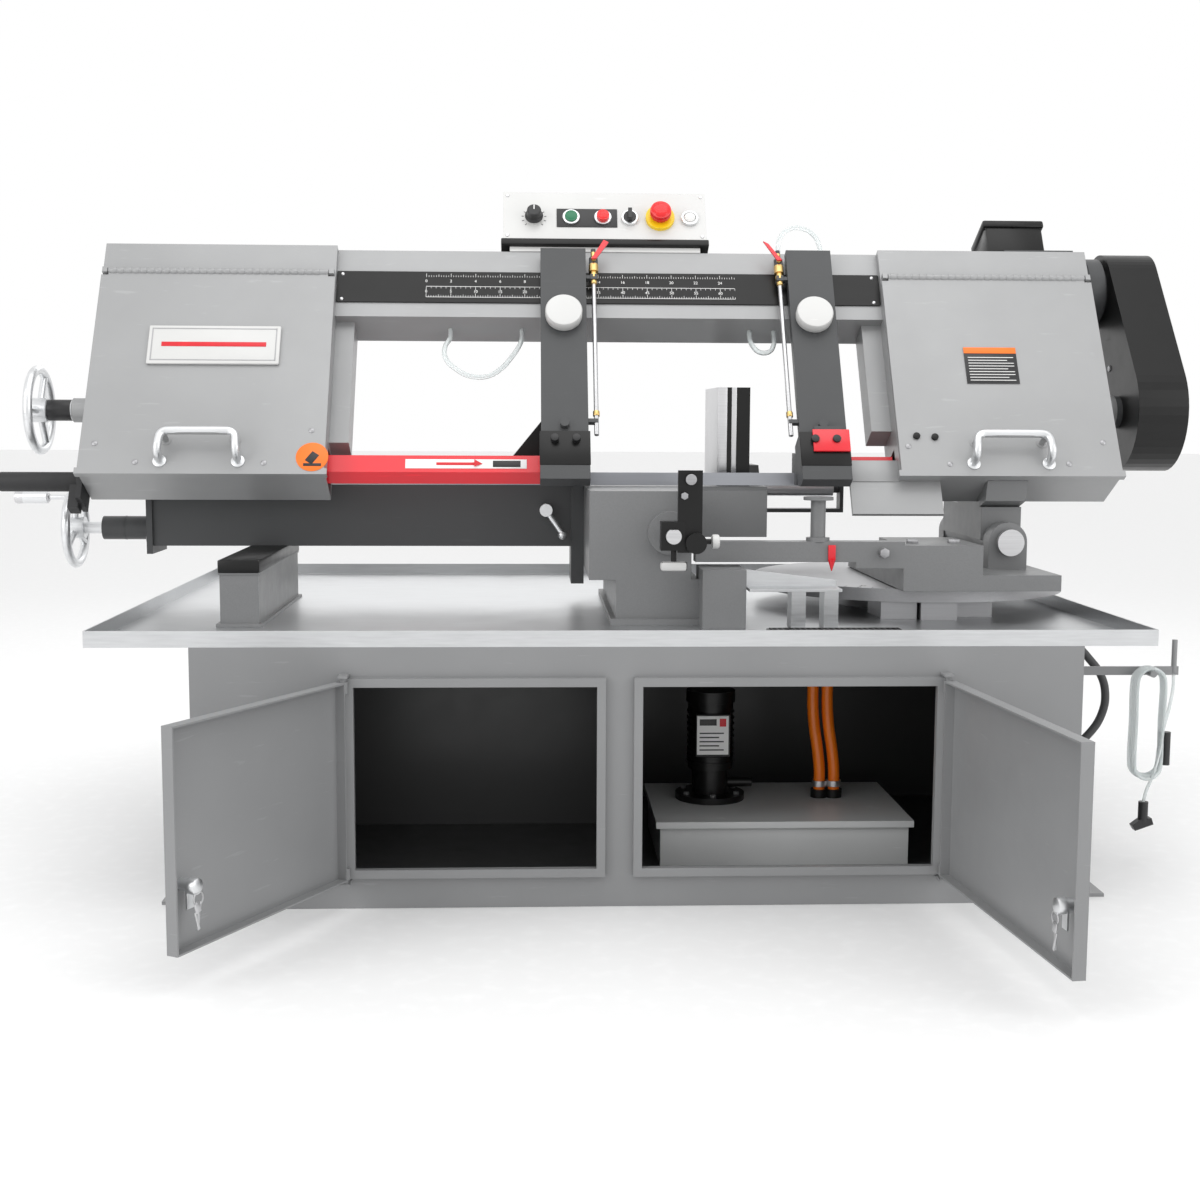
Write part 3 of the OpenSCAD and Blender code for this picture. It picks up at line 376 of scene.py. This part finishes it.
# ---- how new pieces are shaped ----
class Piece:
    """One new piece, shaped in millimetres, then placed and hung on its body."""

    def __init__(self):
        self.bm = bmesh.new()

    def soften(self, edges, offset):
        if offset:
            bmesh.ops.bevel(self.bm, geom=edges, offset=offset, offset_type="OFFSET", segments=2,
                            profile=0.5, affect="EDGES", material=-1, clamp_overlap=True)

    def block(self, low, size, soft=0.6, turn=0, at=Matrix.Identity(4)):
        """Block from its lowest corner, turned about Y on its own centre by degrees, in at."""
        verts = bmesh.ops.create_cube(self.bm, size=1)["verts"]
        bmesh.ops.scale(self.bm, vec=size, verts=verts)
        centre = Matrix.Translation(Vector(low) + Vector(size) / 2)
        bmesh.ops.transform(self.bm, verts=verts,
                            matrix=at @ centre @ Matrix.Rotation(math.radians(turn), 4, "Y"))
        self.soften(list({e for v in verts for e in v.link_edges}), soft)
        return self

    def rod(self, start, radius, length, axis="y", soft=0.6, sides=32, end_radius=None):
        verts = bmesh.ops.create_cone(
            self.bm, cap_ends=True, cap_tris=False, segments=sides, radius1=radius,
            radius2=radius if end_radius is None else end_radius, depth=length)["verts"]
        bmesh.ops.translate(self.bm, vec=(0, 0, length / 2), verts=verts)
        bmesh.ops.transform(self.bm, matrix=Matrix.Translation(start) @ TURN[axis], verts=verts)
        rims = {e for v in verts for e in v.link_edges
                if any(len(f.verts) == sides for f in e.link_faces)}
        self.soften(list(rims), soft)
        return self

    def turned(self, outline, start, axis="y", sides=40):
        """Lathe work: outline is (radius, distance along the axis) pairs."""
        before = set(self.bm.verts)
        verts = [self.bm.verts.new((r, 0, h)) for r, h in outline]
        edges = [self.bm.edges.new(pair) for pair in zip(verts, verts[1:])]
        bmesh.ops.spin(self.bm, geom=verts + edges, cent=(0, 0, 0), axis=(0, 0, 1),
                              dvec=(0, 0, 0), angle=math.tau, steps=sides, use_merge=True,
                              use_normal_flip=False, use_duplicate=False)
        fresh = [v for v in self.bm.verts if v not in before]
        bmesh.ops.transform(self.bm, matrix=Matrix.Translation(start) @ TURN[axis], verts=fresh)
        bmesh.ops.remove_doubles(self.bm, verts=fresh, dist=0.001)
        return self

    def done(self, name, body, finish, place=STAND, smooth=35):
        bmesh.ops.transform(self.bm, matrix=place, verts=self.bm.verts)
        bmesh.ops.recalc_face_normals(self.bm, faces=self.bm.faces)
        mesh = bpy.data.meshes.new(name)
        self.bm.to_mesh(mesh)
        self.bm.free()
        mesh.shade_smooth()
        mesh.set_sharp_from_angle(angle=math.radians(smooth))
        mesh.materials.append(finishes[finish])
        piece = bpy.data.objects.new(name, mesh)
        bpy.context.scene.collection.objects.link(piece)
        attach(piece, body)
        return piece


def wire(name, body, route, radius, finish, place=HEAD):
    """Bent round bar through its points, with round corners."""
    data = bpy.data.curves.new(name, "CURVE")
    data.dimensions = "3D"
    data.bevel_depth = radius / 1000
    data.bevel_resolution = 5
    data.use_fill_caps = True
    spline = data.splines.new("BEZIER")
    spline.bezier_points.add(len(route) - 1)
    for knot, point in zip(spline.bezier_points, route):
        knot.co = place @ Vector(point)
        knot.handle_left_type = knot.handle_right_type = "AUTO"
    data.materials.append(finishes[finish])
    piece = bpy.data.objects.new(name, data)
    bpy.context.scene.collection.objects.link(piece)
    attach(piece, body)


def soft_corners(points, reach, steps=6):
    """The points with each inner corner turned into a short curve that starts reach away."""
    corners = [Vector(p) for p in points]
    route = [corners[0]]
    for before, corner, after in zip(corners, corners[1:], corners[2:]):
        start = corner + (before - corner).normalized() * reach
        end = corner + (after - corner).normalized() * reach
        for i in range(steps + 1):
            t = i / steps
            route.append(start.lerp(corner, t).lerp(corner.lerp(end, t), t))
    return route + [corners[-1]]


def numerals(name, body, words, height, place, finish="print"):
    """Flat scale numbers: (text, position) pairs on the XZ plane of the frame given."""
    bm = bmesh.new()
    for text, spot in words:
        data = bpy.data.curves.new(name, "FONT")
        data.body, data.size, data.align_x, data.extrude = text, height, "CENTER", 0.1
        letter = bpy.data.objects.new(name, data)
        mesh = bpy.data.meshes.new_from_object(letter)
        mesh.transform(Matrix.Translation(spot) @ Matrix.Rotation(math.pi / 2, 4, "X"))
        bm.from_mesh(mesh)
        bpy.data.objects.remove(letter)
        bpy.data.meshes.remove(mesh)
    piece = Piece()
    piece.bm.free()
    piece.bm = bm
    return piece.done(name, body, finish, place)


# ---- covers: badge, labels, handles, hinge knuckles and screws ----
COVER_Y = -81.5
SIDES = (("left", -1048, 466, -820), ("right", 530, 435, 747))


def dress_covers():
    badge = Piece().block((-939, COVER_Y - 7, 205), (258, 6, 88), 5)
    badge.done("badge_plate", "cover_left", "white", HEAD)
    Piece().block((-912, COVER_Y - 7.8, 244), (204, 1.2, 10), 0.3).done(
        "badge_red_stripe", "cover_left", "red_print", HEAD)
    border = Piece()
    for low, span in (((-932, 212), (244, 2)), ((-932, 284), (244, 2)), ((-932, 212), (2, 74)),
                      ((-690, 212), (2, 74))):
        border.block((low[0], COVER_Y - 7.6, low[1]), (span[0], 1, span[1]), 0.2)
    border.done("badge_border", "cover_left", "iron", HEAD)
    Piece().rod((-606, COVER_Y - 0.8, 2), 31, 0.9, sides=48, soft=0.2).done(
        "round_caution_disc", "cover_left", "orange", HEAD)
    mark = Piece().block((-614, COVER_Y - 1.3, -12), (16, 0.8, 24), 0.2, 35)
    mark.block((-622, COVER_Y - 1.3, -18), (34, 0.8, 6), 0.2).done(
        "round_caution_mark", "cover_left", "plastic", HEAD)
    Piece().block((680, COVER_Y - 1.8, 172), (106, 1, 84), 0.2).done(
        "notice_panel", "cover_right", "plastic", HEAD)
    Piece().block((680, COVER_Y - 2.2, 242), (106, 1, 14), 0.2).done(
        "notice_header", "cover_right", "orange", HEAD)
    lines = Piece()
    for i in range(9):
        lines.block((687, COVER_Y - 2.2, 179 + 6.6 * i), (92 - 13 * (i % 3 == 1), 0.6, 1.4), 0)
    lines.done("notice_lines", "cover_right", "print", HEAD)
    for side, x0, width, grip in SIDES:
        top, low, out = 40, -8, COVER_Y - 34
        wire("cover_handle_" + side, "cover_" + side, soft_corners([
            (grip - 74, COVER_Y + 1, low), (grip - 74, out, low + 6), (grip - 70, out, top),
            (grip + 70, out, top), (grip + 74, out, low + 6), (grip + 74, COVER_Y + 1, low)], 16),
            8, "chrome")
        plates = Piece()
        for x in (grip - 74, grip + 74):
            plates.rod((x, COVER_Y - 2.5, low), 13, 3, soft=0.8)
        plates.done("cover_handle_feet_" + side, "cover_" + side, "chrome", HEAD)
        knuckles = Piece()
        for i in range(int((width - 40) / 15)):
            knuckles.rod((x0 + 18 + 15 * i, -80, 426), 7, 12, "x", 1, 20)
        knuckles.done("hinge_knuckles_" + side, "cover_" + side, "cover", HEAD)
        screws = Piece()
        spots = {"left": ((-1020, 30), (-940, -10), (-697, -11), (-610, 60)),
                 "right": ((548, 30), (626, -9), (861, -8), (935, 40))}[side]
        for x, z in spots:
            screws.turned([(0, -2.6), (3.2, -2.4), (5.6, -0.8), (5.8, 0.6)], (x, COVER_Y, z),
                          sides=20)
        screws.done("cover_screws_" + side, "cover_" + side, "iron", HEAD)
    bolts = Piece()
    for x, z in ((566, 52), (602, 50)):
        bolts.rod((x, COVER_Y - 5, z), 7, 5.2, soft=1, sides=24)
    bolts.done("cover_black_bolts", "cover_right", "black", HEAD)


# ---- rule on the beam ----
def dress_rule():
    face = -59
    ticks = Piece()
    for row, (z, reach) in enumerate(((384, 1), (408, -1), (432, 1))):
        for i in range(127):
            x = -400 + 5 * i
            tall = 8 if i % 10 == 0 else 5.5 if i % 5 == 0 else 3.5
            if row != 1 or i % 2 == 0:
                ticks.block((x - 0.4, face - 0.5, z if reach > 0 else z - tall),
                            (0.8, 0.7, tall), 0)
    for z in (383, 408.6):
        ticks.block((-400, face - 0.5, z), (630, 0.7, 0.9), 0)
    ticks.done("rule_ticks", "head", "print", HEAD)
    words = [(str(abs(n)), Vector((-400 + 50 * k, face - 0.4, z)))
             for z, step in ((394, 5), (419, 2)) for k, n in enumerate(range(0, 13 * step, step))]
    numerals("rule_numbers", "head", words, 9, HEAD)
    rivets = Piece()
    for x in (-570, 515):
        for z in (378, 438):
            rivets.turned([(0, -2), (2.4, -1.7), (3.8, -0.3), (3.9, 0.5)], (x, face, z), sides=16)
    rivets.done("rule_rivets", "head", "steel", HEAD)


# ---- blade guides: knobs, bolts and coolant valves ----
def dress_guides():
    face = -86
    for side, x, s in (("left", -122, 1), ("right", 382, -1)):
        body = "guide_" + side
        Piece().turned([(0, -24.6), (30, -24.6), (35.2, -23.6), (37, -21), (37, -3), (35.5, -0.6),
                        (0, -0.6)], (x, face, 322), sides=64).done(
            "guide_clamp_knob_" + side, body, "white", HEAD)
        screw = Piece().rod((x, face - 5, 72), 6.5, 5, soft=1.2, sides=24)
        screw.rod((x, face - 8, 72), 3.4, 4, soft=0.4, sides=6)
        screw.done("guide_screw_" + side, body, "plastic", HEAD)
        Piece().block((x - 49, face - 9.5, -20), (98, 3, 74), 1).done(
            "guide_head_plate_" + side, body, "black", HEAD)
        if side == "right":
            Piece().block((x - 24, face - 16, 8), (72, 5, 48), 1).done(
                "right_guard_bracket", body, "red", HEAD)
        heads = Piece()
        for dx in (-20, 22):
            heads.rod((x + dx, face - 21, 34), 8, 14, soft=1.2, sides=24)
        heads.done("guide_head_bolts_" + side, body, "plastic", HEAD)
        vx, vy = x + s * 62, face + 8
        body_of_valve = Piece()
        body_of_valve.turned([(0, 0), (8.2, 0), (8.2, 8), (6, 9), (6, 14), (9.8, 15), (9.8, 32),
                              (7, 33.5), (7, 40), (5.4, 41), (5.4, 62), (0, 62)],
                             (vx, vy, 418), "z", 24)
        body_of_valve.rod((vx, vy - 14, 458), 5, 10, soft=0.6, sides=24)
        body_of_valve.done("brass_valve_" + side, body, "brass", HEAD)
        collars = Piece()
        for z in (404, 96):
            collars.rod((vx, vy, z), 6.6, 11, "z", 1, 24)
        collars.done("coolant_pipe_nuts_" + side, body, "brass", HEAD)
        Piece().rod((vx, vy, 54), 4.6, 352, "z", 0.5, 20).done(
            "coolant_pipe_" + side, body, "steel", HEAD)


# ---- blade guards: stickers on their sloping front ----
SLOPE = STAND @ Matrix.Translation((0, 98, 732)) @ Matrix.Rotation(math.radians(-29.4), 4, "X")


def dress_guards():
    Piece().block((-432, -0.9, 8), (236, 0.8, 20), 0.1).done(
        "guard_sticker", "guide_left", "print", SLOPE)
    arrow = Piece().block((-372, -1.4, 15), (74, 0.8, 6), 0.1)
    arrow.rod((-298, -1.0, 18), 9, 16, "x", 0, 3, 0.4)
    arrow.done("blade_travel_arrow", "guide_left", "red_print", SLOPE)
    Piece().block((-262, -1.4, 11), (54, 0.8, 14), 0.1).done(
        "guard_sticker_lines", "guide_left", "plastic", SLOPE)


# ---- control box ----
PANEL_Y, PANEL_Z = -66, 576
CONTROL_X = {"speed": -181, "start": -104, "stop": -38, "mode": 18, "estop": 81, "lamp": 143}


def ring(inner, outer, tall):
    return [(inner, 0), (inner, -tall), (outer - 1, -tall), (outer, 1 - tall), (outer, 0),
            (inner, 0)]


def dress_controls():
    Piece().block((-134, PANEL_Y - 1.6, 553), (126, 1.8, 46), 0.6).done(
        "button_plate", "head", "plastic", HEAD)
    collars = Piece()
    for name in ("start", "stop", "mode", "lamp"):
        collars.turned(ring(13.2, 18, 7), (CONTROL_X[name], PANEL_Y, PANEL_Z))
    collars.done("button_collars", "head", "chrome", HEAD)
    Piece().turned(ring(15.5, 30, 9), (CONTROL_X["estop"], PANEL_Y, PANEL_Z), sides=48).done(
        "emergency_stop_ring", "head", "yellow", HEAD)
    Piece().turned([(0, -36), (11, -35.2), (18, -33), (22, -28), (22.4, -22), (20, -17.5),
                    (14, -15.5), (0, -15.5)], (CONTROL_X["estop"], PANEL_Y, PANEL_Z),
                   sides=48).done(
        "emergency_stop_head", "estop_button", "stop_red", HEAD)
    Piece().turned([(0, -12), (6, -11.2), (11, -8.4), (12.6, -5), (12.6, -1), (0, -1)],
                   (CONTROL_X["lamp"], PANEL_Y, PANEL_Z)).done("power_lamp", "head", "lamp", HEAD)
    knob = Piece().turned([(0, -28), (12, -28), (14.6, -26), (15.4, -12), (19, -8), (19, -6.4),
                           (0, -6.4)], (CONTROL_X["speed"], PANEL_Y, PANEL_Z), sides=24)
    knob.done("speed_knob_grip", "speed_knob", "plastic", HEAD, smooth=12)
    Piece().block((CONTROL_X["speed"] - 1, PANEL_Y - 28.6, PANEL_Z + 1), (2, 1, 11), 0.2).done(
        "speed_knob_line", "speed_knob", "print", HEAD)
    for name, finish, body, out in (("start", "green", "start_button", 10.6),
                                    ("stop", "stop_red", "stop_button", 14.6)):
        Piece().turned([(0, -out), (10, -out), (12.6, 1.6 - out), (12.9, 4 - out), (12.9, -6.4),
                        (0, -6.4)], (CONTROL_X[name], PANEL_Y, PANEL_Z)).done(
            name + "_button_cap", body, finish, HEAD)
    screws = Piece()
    for x in (-236, 168):
        for z in (532, 632):
            screws.turned([(0, -2), (3.2, -1.6), (4.4, 0.4)], (x, PANEL_Y, z), sides=16)
    screws.done("control_box_screws", "head", "steel", HEAD)
    tray = Piece().block((-249, PANEL_Y - 2, 509), (430, 116, 15), 2)
    tray.done("control_box_bracket", "head", "black", HEAD)
    ticks = Piece()
    for i in range(11):
        a = math.radians(225 - 27 * i)
        at = (Matrix.Translation((CONTROL_X["speed"], PANEL_Y - 0.4, PANEL_Z))
              @ Matrix.Rotation(-a, 4, "Y"))
        ticks.block((21.5, -0.3, -0.5), (4.5, 0.7, 1), 0, at=at)
    ticks.done("speed_scale", "head", "plastic", HEAD)


# ---- motor and drive ----
def dress_drive():
    fins = Piece()
    for i in range(17):
        fins.rod((838 + 11 * i, 112, 520), 77, 3.4, "x", 0, 40)
    fins.done("motor_cooling_fins", "head", "arm", HEAD)
    Piece().turned([(0, 0), (30, 0), (62, 1.5), (72, 6), (76.5, 15), (76.5, 24), (0, 24)],
                   (806, 112, 520), "x", 48).done("motor_fan_cover", "head", "black", HEAD)
    box = Piece().block((809, 64, 584), (128, 96, 80), 7).block((805, 60, 660), (136, 104, 18), 5)
    box.done("motor_terminal_box", "head", "black", HEAD)
    shield = Piece().block((434, -52, -32), (97, 3, 47), 1)
    shield.done("right_guard_shield", "head", "cover", HEAD)
    bolts = Piece()
    for x, y, z in ((1053, 112, 470), (1053, 112, 330)):
        bolts.rod((x, y, z), 7, 4, "x", 1, 6)
    for x in (700, 790):
        for z in (124, 280):
            bolts.rod((x, 166, z), 8, 7, "y", 1, 6)
    bolts.done("gearbox_bolts", "head", "iron", HEAD)
    guard = Piece()
    guard.rod((1159, 112, 520), 9, 4, "x", 1, 6).rod((1159, 112, 222), 9, 4, "x", 1, 6)
    guard.done("belt_guard_bolts", "head", "steel", HEAD)
    Piece().rod((1000, 112, 222), 36, 44, "x", 2, 40).done(
        "gearbox_shaft_cover", "head", "cover", HEAD)
    grip = Piece().rod((-1218, 0, -10), 19, 158, "x", 4, 40)
    grip.rod((-1066, 0, -10), 21.5, 8, "x", 2, 40)
    grip.done("pull_down_grip", "head", "rubber", HEAD)
    Piece().rod((-1143, 0, 150), 21, 48, "x", 2, 40).done(
        "tension_sleeve", "tension_wheel", "plastic", HEAD)


# ---- stand, doors, vise and swivel ----
DOORS = {
    "left": (STAND @ Matrix.Translation((-502, -374, 58))
             @ Matrix.Rotation(math.radians(-118), 4, "Z"),
             408),
    "right": (STAND @ Matrix.Translation((521, -374, 58))
              @ Matrix.Rotation(math.radians(96), 4, "Z")
              @ Matrix.Scale(-1, 4, (1, 0, 0)), 501),
}


def dress_doors():
    for side, (place, x) in DOORS.items():
        knob = Piece().turned([(0, 27), (7, 26.5), (12, 24), (13, 20), (12.4, 12), (9, 10),
                               (0, 10)],
                              (x, 0, 99.5))
        knob.done("lock_knob_" + side, "lock_" + side, "chrome", place)
        keys = Piece()
        for i, lean in enumerate((-8, 14)):
            keys.block((x - 7 + 5 * i, 23 + 3 * i, 62), (12, 1.8, 15), 0.6, lean)
            keys.block((x - 3 + 6 * i, 23 + 3 * i, 36), (5, 1.6, 28), 0.4, lean)
        keys.turned([(9, -0.9), (9, 0.9), (11, 0.9), (11, -0.9), (9, -0.9)], (x, 25, 82), sides=28)
        keys.done("door_keys_" + side, "lock_" + side, "steel", place)


def dress_stand():
    pump_x, pump_y = 156, -20
    Piece().block((125, -70.6, 206), (60, 2, 74), 0.4).done("pump_label", "base", "print")
    marks = Piece().block((130, -71.2, 262), (32, 1, 12), 0.1)
    for i in range(5):
        marks.block((130, -71.2, 214 + 8 * i), (46 - 9 * (i % 2), 1, 2.4), 0)
    marks.done("pump_label_marks", "base", "plastic")
    Piece().block((168, -71.2, 260), (12, 1, 15), 0.1).done("pump_label_panel", "base", "red_print")
    bolts = Piece()
    for degrees in (30, 90, 150, 210, 270, 330):
        a = math.radians(degrees)
        bolts.rod((pump_x + 55 * math.cos(a), pump_y + 55 * math.sin(a), 123.5), 6, 6, "z", 0.8, 6)
    bolts.done("pump_flange_bolts", "base", "steel")
    fins = Piece()
    for i in range(9):
        fins.rod((pump_x, pump_y, 184 + 12 * i), 45.5, 3.4, "z", 0, 40)
    fins.done("pump_motor_fins", "base", "black")
    clips = Piece()
    for x in (368, 396):
        clips.turned([(11.2, 0), (11.2, 11), (14.6, 11), (14.6, 0), (11.2, 0)],
                     (x, -20, 134), "z", 32)
    clips.done("hose_clips", "base", "steel")
    screen = Piece().block((234, -321, 455.4), (242, 122, 8.4), 1)
    for i in range(23):
        screen.block((240 + 10.2 * i, -318, 463.6), (2.4, 116, 1.6), 0)
    for i in range(12):
        screen.block((238, -316 + 10 * i, 463.8), (234, 2.4, 1.6), 0)
    screen.done("chip_screen", "base", "black")
    Piece().block((-758, -107, 553), (76, 506, 25), 3).done("beam_rest_pad", "base", "black")


def dress_vise():
    plate = Piece().block((185.2, 170.8, 706), (19, 232.4, 194.4), 1)
    plate.block((213, 170.4, 706), (10, 4, 194), 0.6)
    plate.done("fixed_jaw_face", "base", "steel")
    Piece().block((-100.4, 171, 708), (11, 232, 193), 1).done(
        "moving_jaw_face", "moving_jaw", "steel")
    knob = Piece().block((46, -165, 563), (48, 18, 17), 5)
    knob.rod((145 - 8, -164, 617), 13, 15, "x", 4, 24)
    knob.done("work_stop_knobs", "work_stop", "white")
    bolts = Piece().rod((98, -184, 729), 10, 6, "y", 1.2, 24)
    bolts.rod((86, -190, 700), 7, 8, "y", 1.2, 6)
    bolts.done("work_stop_bolts", "work_stop", "iron")
    ends = Piece()
    for y in (254, 336):
        for z in (590, 690):
            ends.rod((-969, y, z), 7, 6, "x", 1, 6)
    ends.done("beam_end_bolts", "base", "iron")
    Piece().rod((-1066, 295, 610), 17, 50, "x", 2, 32, 25).done("screw_nose", "base", "arm")
    Piece().rod((-1242, 295, 672.5), 14, 70, "x", 4, 32, 10).done(
        "crank_handle", "vise_wheel", "steel")


def dress_swivel():
    about = STAND @ Matrix.Translation((600, 290, 515))
    ticks = Piece()
    for i in range(37):
        at = Matrix.Rotation(math.radians(-180 + 5 * i), 4, "Z")
        reach = 20 if i % 3 == 0 else 12
        ticks.block((314 - reach, -0.6, -0.2), (reach, 1.2, 0.6), 0, at=at)
    ticks.done("swivel_scale", "base", "plastic", about)
    words = Piece()
    words.bm.free()
    words.bm = bmesh.new()
    for i in range(13):
        angle = math.radians(-180 + 15 * i)
        data = bpy.data.curves.new("swivel_numbers", "FONT")
        data.body, data.size, data.align_x, data.extrude = str(abs(15 * i - 90)), 13, "CENTER", 0.1
        letter = bpy.data.objects.new("swivel_numbers", data)
        mesh = bpy.data.meshes.new_from_object(letter)
        mesh.transform(Matrix.Rotation(angle + math.pi / 2, 4, "Z")
                       @ Matrix.Translation((0, -286, 0.3)))
        words.bm.from_mesh(mesh)
        bpy.data.objects.remove(letter)
        bpy.data.meshes.remove(mesh)
    words.done("swivel_numbers", "base", "plastic", about)
    pointer = Piece().block((366, -80, 576), (14, 5, 28), 1)
    pointer.rod((373, -77.5, 556), 1, 20, "z", 0, 24, 7)
    pointer.done("down_stop_pointer", "swivel", "red")
    bolts = Piece().rod((470, -92, 590), 10, 9, "y", 1.5, 6)
    for x in (540, 620):
        bolts.rod((x, -10, 602), 12, 9, "z", 1.5, 6)
    bolts.done("swivel_bolts", "swivel", "iron")


for dress in (dress_covers, dress_rule, dress_guides, dress_guards, dress_controls, dress_drive,
              dress_doors, dress_stand, dress_vise, dress_swivel):
    dress()
